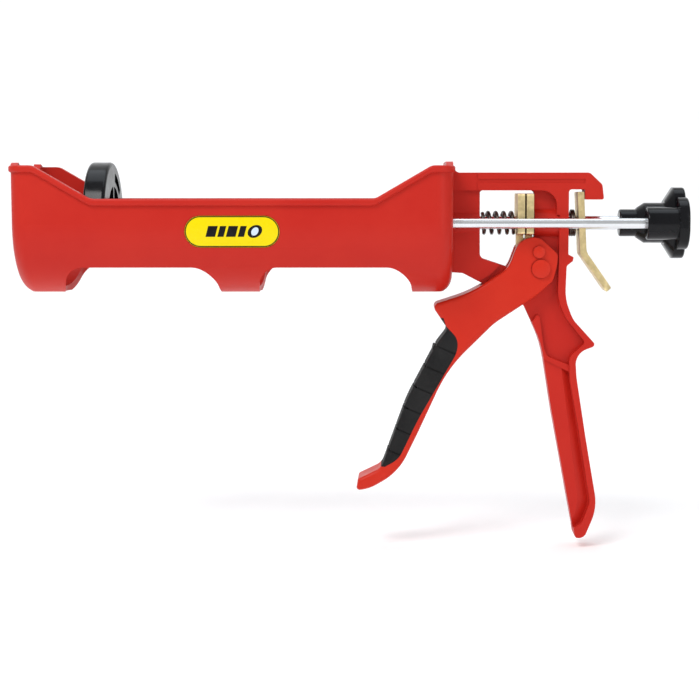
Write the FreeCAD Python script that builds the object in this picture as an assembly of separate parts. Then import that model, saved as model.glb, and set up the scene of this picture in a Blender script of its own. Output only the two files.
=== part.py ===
import FreeCAD, Part
import math
import os

os.makedirs("parts", exist_ok=True)

# Frame: the rod axis is X, pointing from the cartridge bay to the knob. Y crosses the gun, Z is up.
# X = 0 is the face of the rear wall that the cartridge is pushed back against.

# Overall sizes
BAY_LENGTH = 206.5
CRADLE_HALF = 35.0
FRAME_HALF = 7.5
WEB_HALF = 3.2

# Fits and gaps
RUNNING = 0.08
PRESS = 0.02
GAP = 0.4

# Cradle
WALL = 3.5
END_FILLET = 8.0
RIM_MID = 12.1
RIM_END = 28.1
CROWN = 2.0
RIM_SLOPE = 27.5
FRONT_FLAT = 8.0
REAR_FLAT = 6.9
LIP_TALL = 3.4
LIP_PROUD = 1.6
LIP_ROUND = 1.2
WINDOW_HALF = 27.85
WINDOW_BOW = 2.0
FRONT_BOW = 6.0
HOOP_FRONT = 22.3
HOOP_MID = 21.8
HOOP_REAR = 17.5
FIRST_WINDOW = 72.0
FOOT_FLAT = 1.0
SLOT_HALF = 20.0

# Rods
ROD_D = 7.0
SIDE_ROD_D = 5.0
SIDE_ROD_Y = 16.5

# Frame behind the cradle
BAR_TOP = 24.9
BAR_UNDER = 16.1
BAR_START = 16.2
GROOVE = 0.5
GROOVE_LOW = 19.9
GROOVE_HIGH = 21.7
GROOVE_END = 69.5
COLUMN_X = 17.4
COLUMN_HALF = 5.0
RIDGE_HALF = 6.0
PAD_HALF = 5.0
POST_X = 44.6
POST_BACK = 61.4
FLANGE = 4.3
HOOK_X = 69.3
HOOK_BACK = 78.8
HOOK_LOW = 11.6

# Trigger
PIVOT_X = 47.6
PIVOT_Z = -22.6
PIVOT_D = 5.0
DRIVE_X = 46.6
DRIVE_Z = -14.3
DRIVE_D = 4.6
PIVOT_CAP_D = 9.2
DRIVE_CAP_D = 5.9
CHEEK_HALF = 9.6
ARM_HALF = 11.0
TRIGGER_OPEN = 29.0

# Plates
PLATE = 3.5
PLATE_HALF = 13.0
PLATE_TOP = 14.6
PLATE_STEP = -5.6
PLATE_TIP = -17.2
PLATE_GAP = 0.9
PIN_PLAY = 0.6

# Release lever
LEVER = 3.2
LEVER_HALF = 8.25
LEVER_HOLE_CLEAR = 0.45

# Pusher and knob
PUSHER_SLACK = 1.5
PUSHER_D = 2 * (CRADLE_HALF - WALL - PUSHER_SLACK)
PUSHER_BACK = 41.4 - BAY_LENGTH
PUSHER = 10.7
PUSHER_LOW = -21.4
KNOB_NOSE = 87.0
KNOB_BACK = 119.0


def vec(x, y, z):
    return FreeCAD.Vector(x, y, z)


def side(u, v):
    return vec(u, 0, v)


def plan(u, v):
    return vec(u, v, 0)


def across(u, v):
    return vec(0, u, v)


def rounded(points, place=side):
    """Closed wire through (u, v, corner radius) points."""
    starts = []
    ends = []
    edges = []
    count = len(points)
    for i in range(count):
        u, v, r = points[i]
        here = place(u, v)
        if r == 0:
            starts.append(here)
            ends.append(here)
            continue
        before = points[i - 1]
        after = points[(i + 1) % count]
        back = (place(before[0], before[1]) - here).normalize()
        on = (place(after[0], after[1]) - here).normalize()
        half = back.getAngle(on) / 2
        middle = (back + on).normalize()
        centre = here + middle * (r / math.sin(half))
        start = here + back * (r / math.tan(half))
        end = here + on * (r / math.tan(half))
        edges.append(Part.Arc(start, centre - middle * r, end).toShape())
        starts.append(start)
        ends.append(end)
    for i in range(count):
        a = ends[i]
        b = starts[(i + 1) % count]
        if a.distanceToPoint(b) > 1e-6:
            edges.append(Part.makeLine(a, b))
    return Part.Wire(Part.__sortEdges__(edges))


def slab(points, y0, y1):
    """Side outline given thickness from y0 to y1."""
    face = Part.Face(rounded(points))
    face.translate(vec(0, y0, 0))
    return face.extrude(vec(0, y1 - y0, 0))


def soft_slab(points, half, radius):
    """Side outline, half thickness each side, its long edges rounded."""
    body = slab(points, -half, half)
    rims = [e for e in body.Edges if e.BoundBox.YLength < 1e-6]
    return body.makeFillet(radius, rims)


def rod(diameter, x0, x1, y=0.0, z=0.0):
    return Part.makeCylinder(diameter / 2, x1 - x0, vec(x0, y, z), vec(1, 0, 0))


def cross_pin(diameter, y0, y1, x, z):
    return Part.makeCylinder(diameter / 2, y1 - y0, vec(x, y0, z), vec(0, 1, 0))


def box(x0, x1, y0, y1, z0, z1):
    return Part.makeBox(x1 - x0, y1 - y0, z1 - z0, vec(x0, y0, z0))


def save(shape, name):
    if len(shape.Solids) == 1:
        shape = shape.Solids[0]
    if not shape.isValid():
        raise ValueError(name + " is not valid")
    shape.exportStep("parts/" + name + ".step")
    return shape


# Cradle: an open trough with a U section, high ends and a bead round its rim
front = -BAY_LENGTH - WALL
back = WALL


def trough(half, x0, x1, top, fillet):
    low = vec(x0, 0, -half)
    left = vec(x0, -half, 0)
    right = vec(x0, half, 0)
    left_top = vec(x0, -half, top)
    right_top = vec(x0, half, top)
    edges = [
        Part.Arc(left, low, right).toShape(),
        Part.makeLine(right, right_top),
        Part.makeLine(right_top, left_top),
        Part.makeLine(left_top, left),
    ]
    body = Part.Face(Part.Wire(edges)).extrude(vec(x1 - x0, 0, 0))
    ends = [
        e
        for e in body.Edges
        if e.BoundBox.XLength < 1e-6 and e.BoundBox.ZMin < top - 1
    ]
    return body.makeFillet(fillet, ends)


def below_rim(drop):
    high = RIM_END - drop
    mid = RIM_MID - drop
    return slab(
        [
            (front - 5, -60, 0),
            (front - 5, high, 0),
            (front + 2 + FRONT_FLAT + 1.5, high, 6),
            (front + 2 + FRONT_FLAT + 1.5 + RIM_SLOPE, mid, 8),
            (back - 2 - REAR_FLAT - 1.5 - RIM_SLOPE, mid, 8),
            (back - 2 - REAR_FLAT - 1.5, high, 6),
            (back + 5, high, 0),
            (back + 5, -60, 0),
        ],
        -60,
        60,
    )


shell = trough(CRADLE_HALF, front, back, RIM_END + 10, END_FILLET).common(below_rim(0))
lip = trough(CRADLE_HALF + LIP_PROUD, front - 1, back + 1, RIM_END + 10, END_FILLET + 1)
lip = lip.common(below_rim(0)).cut(below_rim(LIP_TALL))
lip_ends = (front - 1, back + 1)
lip_edges = []
for edge in lip.Edges:
    span = edge.BoundBox
    upright = span.XLength < 1e-6 and span.YLength < 1e-6
    crossing = span.YLength > CRADLE_HALF and min(abs(span.XMin - x) for x in lip_ends) > 1e-3
    if not upright and not crossing:
        lip_edges.append(edge)
lip = lip.makeFillet(LIP_ROUND, lip_edges)
crown_half = CRADLE_HALF - END_FILLET + 3
crown = Part.Face(
    rounded(
        [
            (-crown_half, RIM_END - 2, 0),
            (-crown_half, RIM_END, 0),
            (-crown_half + 7, RIM_END + CROWN, 12),
            (crown_half - 7, RIM_END + CROWN, 12),
            (crown_half, RIM_END, 0),
            (crown_half, RIM_END - 2, 0),
        ],
        across,
    )
)
crown_front = crown.extrude(vec(WALL, 0, 0))
crown_front.translate(vec(front, 0, 0))
crown_rear = crown.extrude(vec(WALL, 0, 0))
foot_plane = -CRADLE_HALF + FOOT_FLAT
under_feet = box(front - 1, back + 1, -CRADLE_HALF, CRADLE_HALF, foot_plane - 2 * FOOT_FLAT, foot_plane)
crowns = crown_front.fuse(crown_rear).common(trough(CRADLE_HALF, front, back, RIM_END + 10, END_FILLET))
cradle = shell.fuse([lip, crowns]).cut(under_feet)
cavity = trough(CRADLE_HALF - WALL, -BAY_LENGTH, 0, RIM_END + 20, END_FILLET - WALL)
cradle = cradle.cut(cavity)


def bottom_window(x0, x1, bow):
    outline = [
        (x0, -WINDOW_HALF, 9),
        (x1, -WINDOW_HALF, 12),
        (x1 + WINDOW_BOW, 0, 30),
        (x1, WINDOW_HALF, 12),
        (x0, WINDOW_HALF, 9),
        (x0 - bow, 0, 30),
    ]
    face = Part.Face(rounded(outline, plan))
    face.translate(vec(0, 0, -CRADLE_HALF - 5))
    return face.extrude(vec(0, 0, CRADLE_HALF + 2))


first = front + HOOP_FRONT + WALL
cradle = cradle.cut(bottom_window(first, first + FIRST_WINDOW, FRONT_BOW))
cradle = cradle.cut(bottom_window(first + FIRST_WINDOW + HOOP_MID, -HOOP_REAR, WINDOW_BOW))

# U slot in the front wall for the cartridge's outlet
slot = Part.Face(
    rounded(
        [
            (-SLOT_HALF - 6, RIM_END + 10, 0),
            (-SLOT_HALF - 6, RIM_END + CROWN, 0),
            (-SLOT_HALF, RIM_END - 3, 5),
            (-SLOT_HALF, -SLOT_HALF, SLOT_HALF - 0.01),
            (SLOT_HALF, -SLOT_HALF, SLOT_HALF - 0.01),
            (SLOT_HALF, RIM_END - 3, 5),
            (SLOT_HALF + 6, RIM_END + CROWN, 0),
            (SLOT_HALF + 6, RIM_END + 10, 0),
        ],
        across,
    )
)
slot.translate(vec(front - 5, 0, 0))
cradle = cradle.cut(slot.extrude(vec(WALL + 7, 0, 0)))

# Label in a shallow recess of the near wall
LABEL_X0 = -125.6
LABEL_X1 = -80.1
LABEL_Z0 = -11.1
LABEL_Z1 = 3.9
LABEL_DEEP = 0.5
LABEL_THICK = 0.4


def stadium(grow):
    tall = LABEL_Z1 - LABEL_Z0 + 2 * grow
    r = tall / 2 - 0.01
    corners = [
        (LABEL_X0 - grow, LABEL_Z0 - grow, r),
        (LABEL_X1 + grow, LABEL_Z0 - grow, r),
        (LABEL_X1 + grow, LABEL_Z1 + grow, r),
        (LABEL_X0 - grow, LABEL_Z1 + grow, r),
    ]
    return slab(corners, -CRADLE_HALF - 5, -CRADLE_HALF / 2)


label_floor = trough(CRADLE_HALF - LABEL_DEEP, front, back, RIM_END + 10, 1)
label_back = trough(CRADLE_HALF - LABEL_DEEP + PRESS, front, back, RIM_END + 10, 1)
label_top = trough(CRADLE_HALF - LABEL_DEEP + LABEL_THICK, front, back, RIM_END + 10, 1)
cradle = cradle.cut(stadium(0.3).cut(label_floor))
label = stadium(0).common(label_top).cut(label_back)

# Frame: a web that follows the whole side outline, with thicker flanges and pads on it
outer = [
    (back - 2, BAR_TOP, 0),
    (71.7, BAR_TOP, 3),
    (77.9, 19.0, 2),
    (HOOK_BACK, HOOK_LOW, 1),
    (HOOK_X, HOOK_LOW, 1),
    (HOOK_X, BAR_UNDER + 0.5, 1),
    (POST_BACK, BAR_UNDER + 0.5, 1.5),
    (POST_BACK, -15.6, 0.6),
    (64.0, -16.9, 0.6),
    (63.6, -18.9, 0.6),
    (60.6, -21.2, 2),
    (60.0, -38.0, 25),
    (64.0, -48.0, 12),
    (75.8, -61.0, 1.5),
    (65.2, -65.0, 8),
    (66.0, -77.0, 40),
    (70.6, -106.0, 100),
    (77.0, -143.0, 25),
    (70.5, -158.6, 4),
    (66.0, -158.4, 1.6),
    (53.8, -94.0, 120),
    (48.4, -60.0, 60),
    (39.6, -40.9, 4),
    (9.0, -24.9, 3),
    (back - 2, -24.4, 0),
]
window = [
    (COLUMN_X, BAR_UNDER, 1.5),
    (POST_X, BAR_UNDER, 1.6),
    (POST_X, -9.5, 0),
    (50.6, -9.5, 2),
    (50.6, -16.9, 2),
    (43.5, -18.3, 0),
    (38.0, -24.0, 2),
    (COLUMN_X + 0.2, -17.3, 3),
]
frame = slab(outer, -WEB_HALF, WEB_HALF)

column = [
    (back - 2, BAR_TOP, 0),
    (COLUMN_X, BAR_TOP, 0),
    (COLUMN_X, -17.3, 3),
    (28.0, -20.6, 1),
    (22.3, -26.1, 1),
    (17.0, -29.1, 1),
    (9.0, -24.9, 3),
    (back - 2, -24.4, 0),
]
bar = [
    (back - 2, BAR_TOP + 3, 0),
    (back + 1, BAR_TOP + 3, 0),
    (back + 1, BAR_TOP, 2.9),
    (71.7, BAR_TOP, 3),
    (77.9, 19.0, 2),
    (HOOK_BACK, HOOK_LOW, 1),
    (HOOK_X, HOOK_LOW, 1),
    (HOOK_X, BAR_UNDER + 0.5, 0),
    (POST_BACK, BAR_UNDER + 0.5, 1.5),
    (POST_BACK, 4.0, 0),
    (55.5, 4.0, 0),
    (55.5, BAR_UNDER, 7.5),
    (POST_X, BAR_UNDER, 0),
    (back - 2, BAR_UNDER, 0),
]
rear_rim = [
    (POST_BACK - FLANGE, BAR_UNDER + 2, 0),
    (POST_BACK, BAR_UNDER + 2, 0),
    (POST_BACK, -15.6, 0.6),
    (64.0, -16.9, 0.6),
    (63.6, -18.9, 0.6),
    (60.6, -21.2, 2),
    (60.0, -38.0, 25),
    (64.0, -48.0, 12),
    (75.8, -61.0, 1.5),
    (65.2, -65.0, 8),
    (66.0, -77.0, 40),
    (70.6, -106.0, 100),
    (77.0, -143.0, 25),
    (70.5, -158.6, 4),
    (66.0, -158.4, 1.6),
    (65.2, -153.6, 0),
    (69.4, -150.6, 4),
    (73.4, -140.5, 8),
    (66.7, -100.0, 100),
    (62.6, -78.0, 40),
    (62.2, -66.8, 6),
    (70.4, -59.6, 2),
    (60.4, -47.2, 14),
    (56.4, -38.0, 20),
]
# Raised edge round the pocket that the trigger swings over
ridge = [
    (38.9, -57.4, 0),
    (46.3, -45.3, 0.8),
    (47.5, -47.0, 0.8),
    (49.7, -62.6, 3),
    (51.5, -66.6, 3),
    (64.0, -71.6, 0),
    (64.0, -75.2, 0),
    (45.0, -65.6, 0),
]
# Hand pad, its rear side sloping down to a channel beside the flange
pad_foot = [
    (40.0, -63.1, 0),
    (62.3, -74.4, 0),
    (73.4, -140.5, 8),
    (69.4, -150.6, 4),
    (60.0, -157.5, 0),
    (40.0, -157.5, 0),
]
pad_face = [
    (40.0, -63.1, 0),
    (58.6, -72.5, 0),
    (67.4, -139.5, 8),
    (65.6, -148.0, 4),
    (58.0, -153.5, 0),
    (40.0, -153.5, 0),
]
pad_wires = [rounded(pad_foot), rounded(pad_face)]
pad_wires[0].translate(vec(0, WEB_HALF - 0.2, 0))
pad_wires[1].translate(vec(0, PAD_HALF, 0))
pad = Part.makeLoft(pad_wires, True)
raised = slab(ridge, -RIDGE_HALF, RIDGE_HALF).fuse([pad, pad.mirror(vec(0, 0, 0), vec(0, 1, 0))])
frame = frame.fuse(
    [
        slab(column, -COLUMN_HALF, COLUMN_HALF),
        slab(bar, -FRAME_HALF, FRAME_HALF),
        slab(rear_rim, -FRAME_HALF, FRAME_HALF),
        raised.common(slab(outer, -FRAME_HALF, FRAME_HALF)),
        rod(2 * FRAME_HALF, POST_X, POST_BACK),
        rod(2 * FRAME_HALF - 1, back - 2, COLUMN_X),
    ]
)
frame = frame.cut(slab(window, -FRAME_HALF - 1, FRAME_HALF + 1))
for sign in (-1, 1):
    y0, y1 = sorted((sign * (FRAME_HALF - GROOVE), sign * (FRAME_HALF + 1)))
    frame = frame.cut(box(back + 1.5, BAR_START, y0, y1, BAR_UNDER - 1, BAR_TOP + 1))
    frame = frame.cut(box(BAR_START - 1, GROOVE_END, y0, y1, GROOVE_LOW, GROOVE_HIGH))
body = cradle.fuse(frame)
body = body.cut(rod(ROD_D + 2 * RUNNING, -1, POST_BACK + 1))
for y in (-SIDE_ROD_Y, SIDE_ROD_Y):
    body = body.cut(rod(SIDE_ROD_D + 2 * RUNNING, -1, back + 2, y))
body = body.cut(cross_pin(PIVOT_D + 2 * RUNNING, -20, 20, PIVOT_X, PIVOT_Z))
body = body.removeSplitter()
save(body, "body_moulding")
save(label, "label")

# Trigger: two cheeks either side of the frame that join into one curved arm
arm = [
    (43.6, -6.9, 6.5),
    (47.6, -7.7, 4),
    (56.1, -15.4, 3),
    (55.6, -21.5, 10),
    (53.6, -28.6, 6),
    (46.0, -35.6, 20),
    (24.5, -49.8, 30),
    (1.5, -72.5, 70),
    (-13.5, -105.0, 100),
    (-23.0, -124.5, 30),
    (-37.5, -132.9, 20),
    (-44.4, -133.8, 1.5),
    (-43.2, -127.8, 1.5),
    (-31.6, -122.2, 7),
    (-18.9, -87.6, 80),
    (-4.2, -60.0, 25),
    (1.6, -52.6, 3),
    (-6.6, -40.6, 2.5),
    (13.0, -34.2, 60),
    (31.5, -22.5, 14),
    (36.6, -8.6, 9),
]
grip_zone = [
    (-0.6, -47.0, 0),
    (0.5, -50.9, 2),
    (6.8, -57.5, 8),
    (6.0, -64.5, 14),
    (-13.2, -97.7, 120),
    (-22.9, -117.8, 12),
    (-29.8, -121.6, 0),
    (-60.0, -121.6, 0),
    (-60.0, -47.0, 0),
]
trigger = soft_slab(arm, ARM_HALF, 2.0)
for sign in (-1, 1):
    facet = box(-60, 60, 0, 20, -80, 40)
    facet.translate(vec(60, 0, 0))
    facet.rotate(vec(0, 0, 0), vec(0, 0, 1), -5)
    facet.rotate(vec(0, 0, 0), vec(0, 1, 0), -17)
    facet.translate(vec(37.4, ARM_HALF, -25.5))
    shoulder = box(0, 90, 0, 20, -80, 40)
    shoulder.rotate(vec(0, 0, 0), vec(0, 0, 1), -2)
    shoulder.rotate(vec(0, 0, 0), vec(0, 1, 0), -49)
    shoulder.translate(vec(23.2, ARM_HALF, -38.4))
    facet = facet.fuse(shoulder)
    if sign < 0:
        facet = facet.mirror(vec(0, 0, 0), vec(0, 1, 0))
    trigger = trigger.cut(facet)
yoke = cross_pin(2 * TRIGGER_OPEN, -WEB_HALF - GAP, WEB_HALF + GAP, PIVOT_X, PIVOT_Z)
strut_room = [
    (8.0, -15.0, 0),
    (8.0, -26.0, 0),
    (30.0, -37.4, 0),
    (30.0, -15.0, 0),
]
yoke = yoke.fuse(slab(strut_room, -WEB_HALF - GAP, WEB_HALF + GAP))
trigger = trigger.cut(yoke)
grip_space = slab(grip_zone, -30, 30)
core = soft_slab(arm, ARM_HALF, 2.0).common(grip_space)
spine = [
    (2.2, -47.0, 0),
    (3.4, -57.0, 3),
    (-14.0, -87.6, 60),
    (-28.0, -126.0, 0),
    (-10.0, -126.0, 0),
    (12.0, -47.0, 0),
]
inner = slab(spine, -ARM_HALF + 4, ARM_HALF - 4)
trigger = trigger.cut(grip_space.cut(inner))
trigger = trigger.cut(cross_pin(PIVOT_D + 2 * PRESS, -20, 20, PIVOT_X, PIVOT_Z))
trigger = trigger.cut(cross_pin(DRIVE_D + 2 * PRESS, -20, 20, DRIVE_X, DRIVE_Z))
for diameter, x, z in ((PIVOT_CAP_D, PIVOT_X, PIVOT_Z), (DRIVE_CAP_D, DRIVE_X, DRIVE_Z)):
    for sign in (-1, 1):
        y0, y1 = sorted((sign * CHEEK_HALF, sign * 20))
        trigger = trigger.cut(cross_pin(diameter + 0.5, y0, y1, x, z))
trigger = trigger.removeSplitter()
save(trigger, "trigger")

# Rubber grip moulded over the front of the arm, stepped for the fingers
STEP_PITCH = 11.5
STEPS = 6
STEP_PROUD = 0.7
GRIP_LINE = 0.5
grip = core.cut(inner)
along = vec(-23.1, 0, -52.6).normalize()
inward = vec(52.6, 0, -23.1).normalize()
lean_angle = math.degrees(math.atan2(23.1, 52.6))
for i in range(STEPS):
    at = vec(-4.6, 0, -60.6) + along * (STEP_PITCH * i)
    line = box(-3, 20, -ARM_HALF - 2, ARM_HALF + 2, -0.4, 0.4)
    line = line.cut(box(GRIP_LINE, 21, -ARM_HALF + GRIP_LINE, ARM_HALF - GRIP_LINE, -1, 1))
    line.rotate(vec(0, 0, 0), vec(0, 1, 0), lean_angle)
    line.translate(at)
    grip = grip.cut(line)
    tip = at + along * 0.6 - inward * STEP_PROUD
    root = at + along * 0.4 + inward * 1.5
    tail = at + along * (STEP_PITCH * 0.7) + inward * 0.6
    step = slab([(tip.x, tip.z, 0), (root.x, root.z, 0), (tail.x, tail.z, 0)], -ARM_HALF + 2, ARM_HALF - 2)
    grip = grip.fuse(step)
grip = grip.removeSplitter()
save(grip, "trigger_grip")

# Pivot pin, drive pin and the caps pressed on their ends
PIN_OVER = 1.2
CAP = 0.6


def capped_pin(name, diameter, cap_diameter, cap_thick, x, z):
    reach = CHEEK_HALF + PIN_OVER
    pin = cross_pin(diameter, -reach, reach, x, z)
    caps = []
    for sign in (-1, 1):
        face = CHEEK_HALF + PRESS
        dome_r = (cap_diameter / 2) ** 2 / (2 * CAP) + CAP / 2
        ball = Part.makeSphere(dome_r, vec(x, face + cap_thick + CAP - dome_r, z))
        cap = cross_pin(cap_diameter, face, face + cap_thick + CAP, x, z).common(ball)
        cap = cap.cut(cross_pin(diameter + 2 * PRESS, face - 1, reach + PRESS, x, z))
        if sign < 0:
            cap = cap.mirror(vec(0, 0, 0), vec(0, 1, 0))
        caps.append(cap)
    save(pin, name + "_pin")
    save(Part.makeCompound(caps), name + "_pin_caps")


capped_pin("pivot", PIVOT_D, PIVOT_CAP_D, 1.6, PIVOT_X, PIVOT_Z)
capped_pin("drive", DRIVE_D, DRIVE_CAP_D, 1.6, DRIVE_X, DRIVE_Z)

# Drive plates: the pin pushes their tongues forward and they grip the centre rod
plate_rear_x = DRIVE_X - DRIVE_D / 2 - PIN_PLAY - PLATE
plate_front_x = plate_rear_x - PLATE_GAP - PLATE
plate_outline = [
    (-PLATE_HALF, PLATE_STEP, 1.5),
    (-WEB_HALF, PLATE_STEP, 1),
    (-WEB_HALF, PLATE_TIP, 1.5),
    (WEB_HALF, PLATE_TIP, 1.5),
    (WEB_HALF, PLATE_STEP, 1),
    (PLATE_HALF, PLATE_STEP, 1.5),
    (PLATE_HALF, PLATE_TOP, 2),
    (-PLATE_HALF, PLATE_TOP, 2),
]
for name, x in (("drive_plate_front", plate_front_x), ("drive_plate_rear", plate_rear_x)):
    plate = Part.Face(rounded(plate_outline, across)).extrude(vec(PLATE, 0, 0))
    plate.translate(vec(x, 0, 0))
    save(plate.cut(rod(ROD_D + 2 * RUNNING, x - 1, x + PLATE + 1)), name)


def spring(wire, outside, x0, x1, coils):
    """Round wire coil about the rod axis between two planes."""
    radius = (outside - wire) / 2
    length = x1 - x0 - wire
    helix = Part.makeHelix(length / coils, length, radius)
    section = Part.Wire(Part.makeCircle(wire / 2, vec(radius, 0, 0), vec(0, 1, 0)))
    coil = Part.Wire(helix).makePipeShell([section], True, True)
    coil.rotate(vec(0, 0, 0), vec(0, 1, 0), 90)
    coil.translate(vec(x0 + wire / 2, 0, 0))
    return coil


# Return spring between the frame and the drive plates
SPRING_GAP = 0.3
RETURN_WIRE = 1.8
RETURN_COIL = ROD_D + 2 * RETURN_WIRE + 1.5
spring_start = COLUMN_X + 2 * SPRING_GAP
save(spring(RETURN_WIRE, RETURN_COIL, spring_start, plate_front_x - SPRING_GAP, 4), "return_spring")

# Release lever: a bent plate hung from the hook, leaning on the rod
lever_top = (65.6, 15.3)
lever_bend = (67.2, -15.5)
lever_tip = (80.4, -34.2)
lean = vec(lever_bend[0] - lever_top[0], 0, lever_bend[1] - lever_top[1]).normalize()
bent = vec(lever_tip[0] - lever_bend[0], 0, lever_tip[1] - lever_bend[1]).normalize()
lean_back = vec(-lean.z, 0, lean.x)
bent_back = vec(-bent.z, 0, bent.x)
miter = (lean_back + bent_back).normalize()
miter = miter * (LEVER / miter.dot(lean_back))
lever_side = [
    (lever_top[0], lever_top[1], 0.5),
    (lever_bend[0], lever_bend[1], 3),
    (lever_tip[0], lever_tip[1], 0.5),
    (lever_tip[0] + bent_back.x * LEVER, lever_tip[1] + bent_back.z * LEVER, 0.5),
    (lever_bend[0] + miter.x, lever_bend[1] + miter.z, 6),
    (lever_top[0] + lean_back.x * LEVER, lever_top[1] + lean_back.z * LEVER, 0.5),
]
lever = slab(lever_side, -LEVER_HALF, LEVER_HALF)
tip_round = Part.Face(
    rounded(
        [
            (40, -LEVER_HALF, 0),
            (84.2, -LEVER_HALF, 6),
            (84.2, LEVER_HALF, 6),
            (40, LEVER_HALF, 0),
        ],
        plan,
    )
)
tip_round.translate(vec(0, 0, -50))
lever = lever.common(tip_round.extrude(vec(0, 0, 100)))
hole_x = lever_top[0] + lean.x / lean.z * (0 - lever_top[1]) + LEVER / 2
hole = Part.makeCylinder(ROD_D / 2 + LEVER_HOLE_CLEAR, 20, vec(hole_x, 0, 0) - lean_back * 10, lean_back)
lever = lever.cut(hole)
save(lever, "release_lever")
RELEASE_WIRE = 1.3
RELEASE_COIL = ROD_D + 2 * RELEASE_WIRE + 3.9
save(spring(RELEASE_WIRE, RELEASE_COIL, POST_BACK + SPRING_GAP, lever_top[0], 2), "release_spring")

# Pushers and rods
pusher_front = PUSHER_BACK - PUSHER
ROD_SEAT = 5.0
SCREW_D = 3.0
SCREW_HEAD_D = 6.0
SCREW_HEAD = 2.2
SCREW_LONG = 10.0


def cap_screw(x, y, way, grow=0.0):
    """Pan screw whose head's outer face is at x, shank pointing along way (+1 or -1)."""
    head = rod(SCREW_HEAD_D + 2 * grow, 0, SCREW_HEAD + grow)
    shank = rod(SCREW_D + 2 * grow, 0, SCREW_LONG + grow)
    screw = head.fuse(shank)
    if grow == 0:
        for turn in (0, 90):
            slot_cut = box(-1, 1.1, -1.7, 1.7, -0.4, 0.4)
            slot_cut.rotate(vec(0, 0, 0), vec(1, 0, 0), turn)
            screw = screw.cut(slot_cut)
    if way < 0:
        screw = screw.mirror(vec(0, 0, 0), vec(1, 0, 0))
    screw.translate(vec(x, y, 0))
    return screw


pusher = rod(PUSHER_D, pusher_front, PUSHER_BACK)
rims = [e for e in pusher.Edges if e.BoundBox.XLength < 1e-6]
pusher = pusher.makeFillet(1.6, rims)
pusher = pusher.cut(box(pusher_front - 1, PUSHER_BACK + 1, -PUSHER_D, PUSHER_D, -PUSHER_D, PUSHER_LOW))
RECESS_D = 36.0
BOSS_D = 14.0
SIDE_BOSS_D = 10.0
SLOT_INNER_D = 41.0
SLOT_OUTER_D = 50.0
SLOT_SPREAD = 20
POCKET_DEEP = 6.5
pocket_x = PUSHER_BACK - POCKET_DEEP
recess = rod(RECESS_D, pocket_x, PUSHER_BACK + 1).cut(rod(BOSS_D, pocket_x, PUSHER_BACK + 1))
for y in (-SIDE_ROD_Y, SIDE_ROD_Y):
    recess = recess.cut(rod(SIDE_BOSS_D, pocket_x, PUSHER_BACK + 1, y))
recess = recess.cut(box(pocket_x, PUSHER_BACK + 1, -SIDE_ROD_Y, SIDE_ROD_Y, -1.2, 1.2))
recess = recess.cut(box(pocket_x, PUSHER_BACK + 1, -1.2, 1.2, -RECESS_D, RECESS_D))
pusher = pusher.cut(recess)
reach = SLOT_OUTER_D * math.tan(math.radians(SLOT_SPREAD))
for turn in (30, 90, 270):
    wedge = Part.Face(rounded([(0, 0, 0), (reach, SLOT_OUTER_D, 0), (-reach, SLOT_OUTER_D, 0)], across))
    wedge = wedge.extrude(vec(POCKET_DEEP + 1, 0, 0))
    wedge.translate(vec(pocket_x, 0, 0))
    wedge.rotate(vec(0, 0, 0), vec(1, 0, 0), -turn)
    ring = rod(SLOT_OUTER_D, pocket_x, PUSHER_BACK + 1).cut(rod(SLOT_INNER_D, pocket_x, PUSHER_BACK + 1))
    pusher = pusher.cut(ring.common(wedge))
pusher = pusher.cut(rod(ROD_D + 2 * PRESS, pusher_front - 1, PUSHER_BACK + 1))
screw_x = pusher_front + 0.3
side_screws = []
for y in (-SIDE_ROD_Y, SIDE_ROD_Y):
    pusher = pusher.cut(rod(SIDE_ROD_D + 2 * PRESS, PUSHER_BACK - ROD_SEAT, PUSHER_BACK + 1, y))
    pusher = pusher.cut(cap_screw(screw_x, y, 1, PRESS))
    pusher = pusher.cut(rod(SCREW_HEAD_D + 2 * PRESS, pusher_front - 1, screw_x + 1, y))
    side_screws.append(cap_screw(screw_x, y, 1))
save(pusher, "outer_pusher")

INNER_D = 24.0
INNER = 4.6
inner_back = pusher_front - 0.1
inner_front = inner_back - INNER
piston = rod(INNER_D, inner_front, inner_back)
piston = piston.makeFillet(1.0, [e for e in piston.Edges if e.BoundBox.XLength < 1e-6])
piston = piston.cut(rod(ROD_D + 2 * PRESS, inner_back - 1.8, inner_back + 1))
centre_x = inner_front - 1.0
piston = piston.cut(rod(SCREW_D + 2 * PRESS, inner_front - 1, inner_back))
piston = piston.cut(rod(SCREW_HEAD_D + 2 * PRESS, inner_front - 1, centre_x + SCREW_HEAD))
save(piston, "inner_pusher")
side_screws.append(cap_screw(centre_x, 0, 1))
save(Part.makeCompound(side_screws), "pusher_screws")

# Knob with a nose, three hubs joined by webs and a lobed flange
NOSE_D = 13.5
MID_HUB_D = 20.0
SIDE_HUB_D = 16.0
RIB_HALF = 4.0
LOBE_WIDE = 25.0
LOBE_TALL = 12.8
UP_LOBE = 17.6
UP_WIDE = 9.0
HUB_X0 = 95.5
CONE_LONG = 4.0
SIDE_HUB_X0 = 98.4
FLANGE_X0 = 113.9
GUSSET = 4.8
KNOB_SEAT = 108.0
nose = rod(NOSE_D, KNOB_NOSE, HUB_X0 + CONE_LONG)
nose = nose.makeFillet(1.0, [e for e in nose.Edges if e.BoundBox.XMax < KNOB_NOSE + 1e-6])
mid = Part.makeCone(NOSE_D / 2 + 0.6, MID_HUB_D / 2, CONE_LONG, vec(HUB_X0, 0, 0), vec(1, 0, 0))
mid = mid.fuse(rod(MID_HUB_D, HUB_X0 + CONE_LONG, KNOB_BACK - 1))
knob = nose.fuse(mid)
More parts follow.
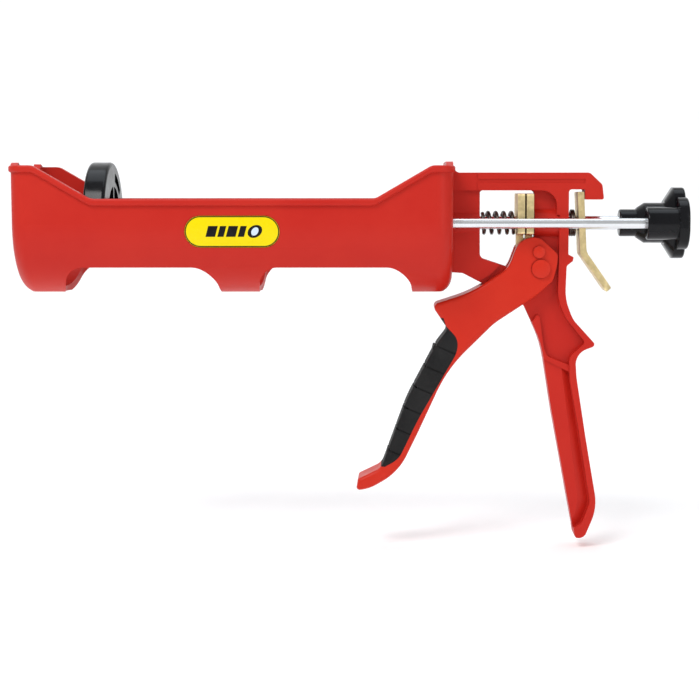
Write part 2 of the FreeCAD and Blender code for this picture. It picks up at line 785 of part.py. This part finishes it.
for y in (-SIDE_ROD_Y, SIDE_ROD_Y):
    hub = rod(SIDE_HUB_D, SIDE_HUB_X0, KNOB_BACK - 1, y)
    hub = hub.makeFillet(1.0, [e for e in hub.Edges if e.BoundBox.XMax < SIDE_HUB_X0 + 1e-6])
    knob = knob.fuse(hub)
knob = knob.fuse(box(SIDE_HUB_X0 + 3, KNOB_BACK - 1, -SIDE_ROD_Y, SIDE_ROD_Y, -RIB_HALF, RIB_HALF))


def upright_lobes(up, wide, corner, x):
    wire = rounded(
        [
            (-wide, -up, corner),
            (wide, -up, corner),
            (wide + 3, 0, 0),
            (wide, up, corner),
            (-wide, up, corner),
            (-wide - 3, 0, 0),
        ],
        across,
    )
    wire.translate(vec(x, 0, 0))
    return wire


side_lobes = rounded(
    [
        (-LOBE_WIDE, -LOBE_TALL, 11),
        (LOBE_WIDE, -LOBE_TALL, 11),
        (LOBE_WIDE, LOBE_TALL, 11),
        (-LOBE_WIDE, LOBE_TALL, 11),
    ],
    across,
)
side_lobes.translate(vec(FLANGE_X0, 0, 0))
gusset_foot = upright_lobes(MID_HUB_D / 2 + 1, UP_WIDE - 3, 5.0, FLANGE_X0 - GUSSET)
gusset_top = upright_lobes(UP_LOBE, UP_WIDE, 8.0, FLANGE_X0 - 0.5)
knob = knob.fuse(Part.makeLoft([gusset_foot, gusset_top], True))
for wire, x in ((gusset_top, FLANGE_X0 - 0.5), (side_lobes, FLANGE_X0)):
    rim = Part.Face(wire).extrude(vec(KNOB_BACK - x, 0, 0))
    rim = rim.makeFillet(1.2, [e for e in rim.Edges if e.BoundBox.XMin > KNOB_BACK - 1e-6])
    knob = knob.fuse(rim)
knob = knob.cut(rod(ROD_D + 2 * PRESS, KNOB_NOSE - 1, KNOB_SEAT + 1))
knob_screws = []
screw_back = KNOB_BACK - 0.8
for y in (-SIDE_ROD_Y, 0, SIDE_ROD_Y):
    if y != 0:
        knob = knob.cut(rod(SIDE_ROD_D + 2 * PRESS, SIDE_HUB_X0 - 1, KNOB_SEAT + 1, y))
    knob = knob.cut(cap_screw(screw_back, y, -1, PRESS))
    knob = knob.cut(rod(SCREW_HEAD_D + 2 * PRESS, screw_back - 1, KNOB_BACK + 1, y))
    knob_screws.append(cap_screw(screw_back, y, -1))
knob = knob.removeSplitter()
save(knob, "rear_knob")
save(Part.makeCompound(knob_screws), "knob_screws")

centre = rod(ROD_D, inner_back - 1.8, KNOB_SEAT)
centre = centre.cut(cap_screw(centre_x, 0, 1, PRESS))
centre = centre.cut(cap_screw(screw_back, 0, -1, PRESS))
save(centre, "centre_rod")
for name, y in (("side_rod_near", -SIDE_ROD_Y), ("side_rod_far", SIDE_ROD_Y)):
    thin = rod(SIDE_ROD_D, PUSHER_BACK - ROD_SEAT, KNOB_SEAT, y)
    thin = thin.cut(cap_screw(screw_x, y, 1, PRESS))
    thin = thin.cut(cap_screw(screw_back, y, -1, PRESS))
    save(thin, name)
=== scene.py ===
import math

import bmesh
import bpy
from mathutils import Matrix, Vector


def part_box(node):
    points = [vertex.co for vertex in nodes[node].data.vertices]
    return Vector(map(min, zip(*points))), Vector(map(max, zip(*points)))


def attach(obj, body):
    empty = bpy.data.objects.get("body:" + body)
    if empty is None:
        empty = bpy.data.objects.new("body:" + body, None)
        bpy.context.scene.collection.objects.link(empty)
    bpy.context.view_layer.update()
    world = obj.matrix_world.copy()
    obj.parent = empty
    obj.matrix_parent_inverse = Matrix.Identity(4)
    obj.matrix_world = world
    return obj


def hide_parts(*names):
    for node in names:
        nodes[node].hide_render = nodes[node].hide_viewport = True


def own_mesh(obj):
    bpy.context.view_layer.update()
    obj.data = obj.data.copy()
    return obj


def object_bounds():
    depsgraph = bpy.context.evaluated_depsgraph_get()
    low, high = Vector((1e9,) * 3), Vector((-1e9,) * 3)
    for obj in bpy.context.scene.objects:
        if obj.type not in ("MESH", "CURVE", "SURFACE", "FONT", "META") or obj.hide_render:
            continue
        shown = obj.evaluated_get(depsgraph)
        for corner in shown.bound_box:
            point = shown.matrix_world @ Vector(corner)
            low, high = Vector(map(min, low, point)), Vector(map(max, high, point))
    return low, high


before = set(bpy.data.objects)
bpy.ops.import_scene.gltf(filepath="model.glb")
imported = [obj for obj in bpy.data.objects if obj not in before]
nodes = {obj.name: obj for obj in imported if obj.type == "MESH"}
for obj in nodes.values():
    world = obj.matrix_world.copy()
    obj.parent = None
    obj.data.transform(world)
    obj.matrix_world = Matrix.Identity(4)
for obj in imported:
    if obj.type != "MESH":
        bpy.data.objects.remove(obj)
cad_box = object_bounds()

# --- Studio -------------------------------------------------------------------------
# The gun hangs upright a few millimetres above a pale floor that sweeps up into a pale
# wall, with room below for the squeezed trigger. Large soft lamps light it from above
# and in front, and it is seen square to its side.
scene = bpy.context.scene
scene.view_settings.view_transform = "Standard"

camera_data = bpy.data.cameras.new("camera")
camera_data.sensor_width = 36.0
camera_data.lens = 87.2
camera_data.shift_x = -0.0721
camera_data.clip_start = 0.05
camera_data.clip_end = 30.0
camera = bpy.data.objects.new("camera", camera_data)
camera.location = (-0.022, -0.850, 0.016)
camera.rotation_mode = "QUATERNION"
aim = Vector((-0.022, 0.0, -0.0639))
camera.rotation_quaternion = (aim - camera.location).to_track_quat("-Z", "Y")
scene.collection.objects.link(camera)
scene.camera = camera

world = bpy.data.worlds.new("studio")
scene.world = world
world.use_nodes = True
sky = world.node_tree.nodes["Background"]
sky.inputs["Color"].default_value = (1.0, 1.0, 1.0, 1.0)
sky.inputs["Strength"].default_value = 0.50


def linked(name, mesh):
    """A new object with this mesh, in the scene."""
    made = bpy.data.objects.new(name, mesh)
    scene.collection.objects.link(made)
    return made


floor_low = cad_box[0].z - 0.005
floor_front = -2.2
floor_half = 2.5
wall_foot = 0.7
wall_tall = 2.6
sweep = 0.5
sweep_steps = 12
rows = [(floor_front, floor_low)]
for i in range(sweep_steps + 1):
    turn = math.pi / 2 * i / sweep_steps
    rows.append((wall_foot + sweep * math.sin(turn), floor_low + sweep * (1 - math.cos(turn))))
rows.append((wall_foot + sweep, floor_low + wall_tall))
floor_mesh = bpy.data.meshes.new("floor")
floor_points = [(x, y, z) for y, z in rows for x in (-floor_half, floor_half)]
floor_faces = [(2 * i, 2 * i + 1, 2 * i + 3, 2 * i + 2) for i in range(len(rows) - 1)]
floor_mesh.from_pydata(floor_points, [], floor_faces)
floor_mesh.shade_smooth()
floor = linked("floor", floor_mesh)
floor_paint = bpy.data.materials.new("pale_floor")
floor_paint.use_nodes = True
floor_shader = floor_paint.node_tree.nodes["Principled BSDF"]
floor_shader.inputs["Base Color"].default_value = (0.97, 0.97, 0.97, 1.0)
floor_shader.inputs["Roughness"].default_value = 0.9
floor_shader.inputs["Specular IOR Level"].default_value = 0.2
floor_shader.inputs["Emission Color"].default_value = (1.0, 1.0, 1.0, 1.0)
floor_shader.inputs["Emission Strength"].default_value = 0.12
floor.data.materials.append(floor_paint)


def softbox(name, place, width, height, power, tint=(1.0, 1.0, 1.0)):
    """A large area lamp facing the gun's middle."""
    data = bpy.data.lights.new(name, "AREA")
    data.shape = "RECTANGLE"
    data.size = width
    data.size_y = height
    data.energy = power
    data.color = tint
    lamp = bpy.data.objects.new(name, data)
    lamp.location = place
    lamp.rotation_mode = "QUATERNION"
    lamp.rotation_quaternion = (Vector((-0.05, 0.0, -0.04)) - Vector(place)).to_track_quat("-Z", "Y")
    scene.collection.objects.link(lamp)


softbox("key", (-0.55, -0.75, 1.0), 0.6, 0.5, 9.0)
softbox("fill", (0.9, -1.0, 0.3), 0.6, 0.9, 2.5)
softbox("top", (0.0, 0.2, 1.3), 1.4, 0.8, 6.0, (0.84, 0.92, 1.0))

# --- Body moulding ------------------------------------------------------------------
# Cradle, frame and rear handle are one injection moulding in red glass-filled nylon.
# The mould leaves a fine spark texture, slow flow marks and a satin gloss.


def new_group(name, inputs, outputs):
    """An empty node group with these sockets, its start and its end."""
    group = bpy.data.node_groups.new(name, "ShaderNodeTree")
    for kind, label, value in inputs:
        socket = group.interface.new_socket(name=label, in_out="INPUT", socket_type=kind)
        if value is not None:
            socket.default_value = value
    for kind, label in outputs:
        group.interface.new_socket(name=label, in_out="OUTPUT", socket_type=kind)
    return group, group.nodes.new("NodeGroupInput"), group.nodes.new("NodeGroupOutput")


def add(tree, kind, values=None, **settings):
    """A node with its settings and the values of its inputs."""
    made = tree.nodes.new(kind)
    for name, value in settings.items():
        setattr(made, name, value)
    for name, value in (values or {}).items():
        made.inputs[name].default_value = value
    return made


def wire(tree, *pairs):
    """Join each output to its input."""
    for out, into in pairs:
        tree.links.new(out, into)


# Drifts of colour with rubbed patches
drift, drift_in, drift_out = new_group(
    "colour_drift",
    [
        ("NodeSocketColor", "Base", None),
        ("NodeSocketColor", "Rubbed", None),
        ("NodeSocketFloat", "Scale", 60.0),
        ("NodeSocketFloat", "Amount", 0.3),
    ],
    [("NodeSocketColor", "Color")],
)
place = add(drift, "ShaderNodeTexCoord")
slow = add(drift, "ShaderNodeTexNoise", {"Detail": 5.0, "Roughness": 0.6})
patch = add(drift, "ShaderNodeMapRange", {"From Min": 0.35, "From Max": 0.72})
share = add(drift, "ShaderNodeMath", operation="MULTIPLY")
blend = add(drift, "ShaderNodeMix", data_type="RGBA")
wire(
    drift,
    (place.outputs["Object"], slow.inputs["Vector"]),
    (drift_in.outputs["Scale"], slow.inputs["Scale"]),
    (slow.outputs["Fac"], patch.inputs["Value"]),
    (patch.outputs["Result"], share.inputs[0]),
    (drift_in.outputs["Amount"], share.inputs[1]),
    (share.outputs[0], blend.inputs["Factor"]),
    (drift_in.outputs["Base"], blend.inputs[6]),
    (drift_in.outputs["Rubbed"], blend.inputs[7]),
    (blend.outputs[2], drift_out.inputs["Color"]),
)

# Fine surface grain that may run one way, and the slow change of gloss over it
grain, grain_in, grain_out = new_group(
    "surface_grain",
    [
        ("NodeSocketFloat", "Scale", 900.0),
        ("NodeSocketFloat", "Along", 1.0),
        ("NodeSocketFloat", "Up", 1.0),
        ("NodeSocketFloat", "Least", 0.3),
        ("NodeSocketFloat", "Most", 0.45),
    ],
    [("NodeSocketFloat", "Height"), ("NodeSocketFloat", "Roughness")],
)
place = add(grain, "ShaderNodeTexCoord")
ways = add(grain, "ShaderNodeCombineXYZ", {"Y": 1.0})
stretch = add(grain, "ShaderNodeVectorMath", operation="MULTIPLY")
fine = add(grain, "ShaderNodeTexNoise", {"Detail": 3.0, "Roughness": 0.55})
coarse = add(grain, "ShaderNodeTexNoise", {"Detail": 3.0, "Scale": 45.0})
scuff = add(grain, "ShaderNodeTexNoise", {"Detail": 6.0, "Scale": 260.0, "Roughness": 0.7})
both = add(grain, "ShaderNodeMath", {1: 0.5}, operation="MULTIPLY_ADD")
gloss = add(grain, "ShaderNodeMapRange", {"From Min": 0.55, "From Max": 0.95})
wire(
    grain,
    (grain_in.outputs["Along"], ways.inputs["X"]),
    (grain_in.outputs["Up"], ways.inputs["Z"]),
    (place.outputs["Object"], stretch.inputs[0]),
    (ways.outputs[0], stretch.inputs[1]),
    (stretch.outputs[0], fine.inputs["Vector"]),
    (grain_in.outputs["Scale"], fine.inputs["Scale"]),
    (stretch.outputs[0], coarse.inputs["Vector"]),
    (stretch.outputs[0], scuff.inputs["Vector"]),
    (scuff.outputs["Fac"], both.inputs[0]),
    (coarse.outputs["Fac"], both.inputs[2]),
    (both.outputs[0], gloss.inputs["Value"]),
    (grain_in.outputs["Least"], gloss.inputs["To Min"]),
    (grain_in.outputs["Most"], gloss.inputs["To Max"]),
    (fine.outputs["Fac"], grain_out.inputs["Height"]),
    (gloss.outputs["Result"], grain_out.inputs["Roughness"]),
)


def finish(name, base, rubbed, gloss, patches, texture, relief, metallic=0.0, specular=0.5, coat=0.0):
    """A material from its two colours, its range of roughness, the scale and share of its
    patches, its grain (scale, along, up) and how deep the grain is in millimetres."""
    paint = bpy.data.materials.new(name)
    paint.use_nodes = True
    tree = paint.node_tree
    shader = tree.nodes["Principled BSDF"]
    shader.inputs["Metallic"].default_value = metallic
    shader.inputs["Specular IOR Level"].default_value = specular
    shader.inputs["Coat Weight"].default_value = coat
    shader.inputs["Coat Roughness"].default_value = 0.06
    colour = add(tree, "ShaderNodeGroup", node_tree=drift)
    colour.inputs["Base"].default_value = (*base, 1.0)
    colour.inputs["Rubbed"].default_value = (*rubbed, 1.0)
    colour.inputs["Scale"].default_value = patches[0]
    colour.inputs["Amount"].default_value = patches[1]
    surface = add(tree, "ShaderNodeGroup", node_tree=grain)
    for label, value in zip(("Scale", "Along", "Up"), texture):
        surface.inputs[label].default_value = value
    surface.inputs["Least"].default_value = gloss[0]
    surface.inputs["Most"].default_value = gloss[1]
    bump = add(tree, "ShaderNodeBump", {"Strength": 0.5, "Distance": relief / 1000})
    wire(
        tree,
        (colour.outputs["Color"], shader.inputs["Base Color"]),
        (surface.outputs["Roughness"], shader.inputs["Roughness"]),
        (surface.outputs["Height"], bump.inputs["Height"]),
        (bump.outputs["Normal"], shader.inputs["Normal"]),
    )
    return paint


sharpest_left = math.radians(40)


def paint_nodes(names, paint, edge=0.0):
    """Give carried-over pieces their material, and soften their edges by edge millimetres."""
    for name in names:
        piece = nodes[name]
        piece.data.materials.clear()
        piece.data.materials.append(paint)
        if edge > 0:
            soft = piece.modifiers.new("soft_edges", "BEVEL")
            soft.width = edge / 1000
            soft.segments = 2
            soft.limit_method = "ANGLE"
            soft.angle_limit = sharpest_left
            soft.harden_normals = True


red_nylon = finish(
    "red_nylon",
    base=(0.52, 0.017, 0.010),
    rubbed=(0.58, 0.027, 0.014),
    gloss=(0.34, 0.48),
    patches=(22.0, 0.6),
    texture=(1500.0, 1.0, 1.0),
    relief=0.03,
    specular=0.18,
)
paint_nodes(["body_moulding"], red_nylon)

# --- Label --------------------------------------------------------------------------
# A yellow printed film in a shallow recess on the near wall, with a dark border. Its
# print is a plain mark of slanted bars and an oval, standing a hair proud of the film.
label_film = finish(
    "label_film",
    base=(0.88, 0.70, 0.0),
    rubbed=(0.84, 0.64, 0.005),
    gloss=(0.22, 0.34),
    patches=(90.0, 0.4),
    texture=(600.0, 1.0, 1.0),
    relief=0.01,
    specular=0.15,
)
paint_nodes(["label"], label_film)
label_low, label_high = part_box("label")
label_round = -label_low.y
label_middle = (label_low + label_high) / 2
ink_root = -0.00004
ink_proud = 0.00003
pale_ink_proud = 0.00002
same_place = 1e-7


def on_label(x, z, lift):
    """A point on the film, lifted off it: flat above the rod axis, round below it."""
    radius = label_round + lift
    y = -radius if z >= 0 else -math.sqrt(radius * radius - z * z)
    return (x, y, z)


def print_on_label(name, outline, paint, lift, hole=None):
    """A closed thin layer of ink inside an outline of (x, z) points, or between two."""
    middle = sum(x for x, z in outline) / len(outline)
    inner = hole or [(middle, z) for x, z in outline]
    count = len(outline)
    points = []
    for depth in (lift, ink_root):
        points += [on_label(x, z, depth) for x, z in outline]
        points += [on_label(x, z, depth) for x, z in inner]
    faces = []
    for i in range(count):
        j = (i + 1) % count
        faces.append((i, j, count + j, count + i))
        faces.append((2 * count + j, 2 * count + i, 3 * count + i, 3 * count + j))
        faces.append((j, i, 2 * count + i, 2 * count + j))
        if hole:
            faces.append((count + i, count + j, 3 * count + j, 3 * count + i))
    mesh = bpy.data.meshes.new(name)
    mesh.from_pydata(points, [], faces)
    shape = bmesh.new()
    shape.from_mesh(mesh)
    bmesh.ops.remove_doubles(shape, verts=shape.verts, dist=same_place)
    bmesh.ops.dissolve_degenerate(shape, edges=shape.edges, dist=same_place)
    bmesh.ops.recalc_face_normals(shape, faces=shape.faces)
    shape.to_mesh(mesh)
    shape.free()
    mesh.materials.append(paint)
    piece = linked(name, mesh)
    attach(piece, "frame")
    return piece


black_ink = finish(
    "black_ink",
    base=(0.004, 0.004, 0.005),
    rubbed=(0.016, 0.016, 0.018),
    gloss=(0.28, 0.40),
    patches=(150.0, 0.4),
    texture=(900.0, 1.0, 1.0),
    relief=0.005,
    specular=0.15,
)
pale_ink = finish(
    "pale_blue_ink",
    base=(0.62, 0.74, 0.86),
    rubbed=(0.70, 0.80, 0.90),
    gloss=(0.28, 0.40),
    patches=(150.0, 0.4),
    texture=(900.0, 1.0, 1.0),
    relief=0.005,
)


def stadium(inset, steps=20):
    """The label's own outline, moved inward."""
    radius = (label_high.z - label_low.z) / 2 - inset
    points = []
    for x, start in ((label_high.x - radius - inset, -90), (label_low.x + radius + inset, 90)):
        for i in range(steps + 1):
            turn = math.radians(start + 180 * i / steps)
            points.append((x + radius * math.cos(turn), label_middle.z + radius * math.sin(turn)))
    return points


def oval(x, z, half_wide, half_tall, slant, count=32):
    """A slanted oval of (x, z) points."""
    points = []
    for i in range(count):
        turn = 2 * math.pi * i / count
        up = half_tall * math.sin(turn)
        points.append((x + half_wide * math.cos(turn) + slant * up, z + up))
    return points


border_outside = 0.0001
border_inside = 0.0006
print_on_label(
    "label_border", stadium(border_outside), black_ink, ink_proud, hole=stadium(border_inside)
)
bar_foot = label_middle.z - 0.0025
bar_tall = 0.0052
bar_rows = 6
bar_gap = 0.0011
lean = 0.28
bar_x = label_middle.x - 0.0128
for i, bar_wide in enumerate((0.0046, 0.0030, 0.0046, 0.0030)):
    edge_rows = [bar_tall * k / bar_rows for k in range(bar_rows + 1)]
    right = [(bar_x + bar_wide + lean * up, bar_foot + up) for up in edge_rows]
    left = [(bar_x + lean * up, bar_foot + up) for up in reversed(edge_rows)]
    print_on_label("label_bar_%d" % (i + 1), right + left, black_ink, ink_proud)
    bar_x += bar_wide + bar_gap
oval_place = (bar_x + 0.0042, bar_foot + bar_tall / 2)
ring = oval(*oval_place, 0.0034, 0.0031, lean)
heart = oval(*oval_place, 0.0017, 0.0020, lean)
print_on_label("label_oval", ring, black_ink, ink_proud, hole=heart)
print_on_label("label_oval_middle", heart, pale_ink, pale_ink_proud)

# --- Trigger and pin caps -------------------------------------------------------------
# The trigger is a red nylon moulding, two cheeks that join into one arm, its red set a
# little brighter than the body's. Both pins have red moulded caps pressed over their ends.
red_trigger = finish(
    "red_trigger",
    base=(0.58, 0.022, 0.009),
    rubbed=(0.64, 0.034, 0.013),
    gloss=(0.32, 0.46),
    patches=(24.0, 0.6),
    texture=(1500.0, 1.0, 1.0),
    relief=0.03,
    specular=0.18,
)
paint_nodes(["trigger"], red_trigger)
paint_nodes(["pivot_pin_caps", "drive_pin_caps"], red_trigger, edge=0.7)

# --- Trigger grip ---------------------------------------------------------------------
# Soft black rubber moulded over the front of the arm, matt and finely pebbled, with a
# small step under each finger.
grip_rubber = finish(
    "grip_rubber",
    base=(0.0055, 0.0055, 0.006),
    rubbed=(0.016, 0.016, 0.016),
    gloss=(0.62, 0.80),
    patches=(70.0, 0.7),
    texture=(1100.0, 1.0, 1.0),
    relief=0.12,
    specular=0.28,
)
paint_nodes(["trigger_grip"], grip_rubber, edge=0.2)

# --- Rods, pins and screws ------------------------------------------------------------
# Cold-drawn steel, bright zinc plated. Drawing marks run along the rods.
bright_zinc = finish(
    "bright_zinc",
    base=(0.80, 0.82, 0.84),
    rubbed=(0.64, 0.66, 0.68),
    gloss=(0.16, 0.30),
    patches=(80.0, 0.6),
    texture=(420.0, 0.05, 3.0),
    relief=0.02,
    metallic=1.0,
)
paint_nodes(["centre_rod", "side_rod_near", "side_rod_far", "pivot_pin", "drive_pin"], bright_zinc)
paint_nodes(["knob_screws", "pusher_screws"], bright_zinc)

# --- Drive plates and release lever -----------------------------------------------------
# Stamped steel plates, yellow zinc plated and barrel tumbled, so the colour is uneven
# and their edges are slightly rounded.
yellow_zinc = finish(
    "yellow_zinc",
    base=(0.80, 0.65, 0.34),
    rubbed=(0.40, 0.31, 0.15),
    gloss=(0.34, 0.52),
    patches=(260.0, 0.75),
    texture=(700.0, 1.0, 0.4),
    relief=0.06,
    metallic=0.8,
)
paint_nodes(["drive_plate_front", "drive_plate_rear", "release_lever"], yellow_zinc, edge=0.25)

# --- Springs ----------------------------------------------------------------------------
# Oiled spring steel wire, coiled round the centre rod with closed end turns. One pushes
# the drive plates back, the other holds the release lever off the frame.
spring_steel = finish(
    "spring_steel",
    base=(0.060, 0.050, 0.046),
    rubbed=(0.22, 0.19, 0.17),
    gloss=(0.22, 0.36),
    patches=(240.0, 0.6),
    texture=(900.0, 1.0, 1.0),
    relief=0.02,
    metallic=0.9,
)


around = 36
sides = 14
closed_pitch = 1.12


def coil_spring(name, node, wire_size, turns, closed, start_turn):
    """A wire coil in the room of a CAD spring, its pitch tight over the end turns."""
    low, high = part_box(node)
    radius = (high.z - low.z) / 2 - wire_size / 2
    span = high.x - low.x - wire_size
    tight = wire_size * closed_pitch
    count = int(turns * around)
    steps = []
    for i in range(count):
        turn = (i + 0.5) / around
        steps.append(tight if min(turn, turns - turn) < closed else -1.0)
    used = sum(s for s in steps if s > 0)
    free = sum(1 for s in steps if s < 0)
    pitch = (span * around - used) / free if free else 0.0
    line = []
    x = low.x + wire_size / 2
    for i in range(count + 1):
        turn = start_turn + 2 * math.pi * i / around
        line.append(Vector((x, -radius * math.sin(turn), radius * math.cos(turn))))
        if i < count:
            x += (tight if steps[i] > 0 else pitch) / around
    shape = bmesh.new()
    rings = []
    for i, here in enumerate(line):
        ahead = (line[min(i + 1, count)] - line[max(i - 1, 0)]).normalized()
        outward = Vector((0.0, here.y, here.z)).normalized()
        outward = (outward - ahead * outward.dot(ahead)).normalized()
        other = ahead.cross(outward)
        ring = []
        for k in range(sides):
            turn = 2 * math.pi * k / sides
            point = here + (outward * math.cos(turn) + other * math.sin(turn)) * (wire_size / 2)
            ring.append(shape.verts.new(point))
        rings.append(ring)
    for a, b in zip(rings, rings[1:]):
        for k in range(sides):
            shape.faces.new((a[k], a[(k + 1) % sides], b[(k + 1) % sides], b[k]))
    shape.faces.new(rings[0])
    shape.faces.new(rings[-1])
    bmesh.ops.recalc_face_normals(shape, faces=shape.faces)
    mesh = bpy.data.meshes.new(name)
    shape.to_mesh(mesh)
    shape.free()
    mesh.shade_smooth()
    mesh.materials.append(spring_steel)
    piece = linked(name, mesh)
    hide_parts(node)
    return piece, low, high


return_coil, low, high = coil_spring("return_coil", "return_spring", 0.0018, 4.5, 0.45, 0.4)
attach(return_coil, "plates")
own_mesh(return_coil)
release_coil, low, high = coil_spring("release_coil", "release_spring", 0.0013, 2.4, 0.5, 1.2)
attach(release_coil, "lever")
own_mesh(release_coil)

# --- Pushers and rear knob ----------------------------------------------------------------
# Glossy black nylon mouldings. The pushers ride on the front of the rods, and the lobed
# knob ties the rods together at the back and is pulled to draw them out.
black_nylon = finish(
    "black_nylon",
    base=(0.0035, 0.0037, 0.0048),
    rubbed=(0.010, 0.010, 0.012),
    gloss=(0.12, 0.24),
    patches=(60.0, 0.6),
    texture=(700.0, 1.0, 1.0),
    relief=0.012,
    specular=0.20,
)
paint_nodes(["rear_knob", "outer_pusher", "inner_pusher"], black_nylon)
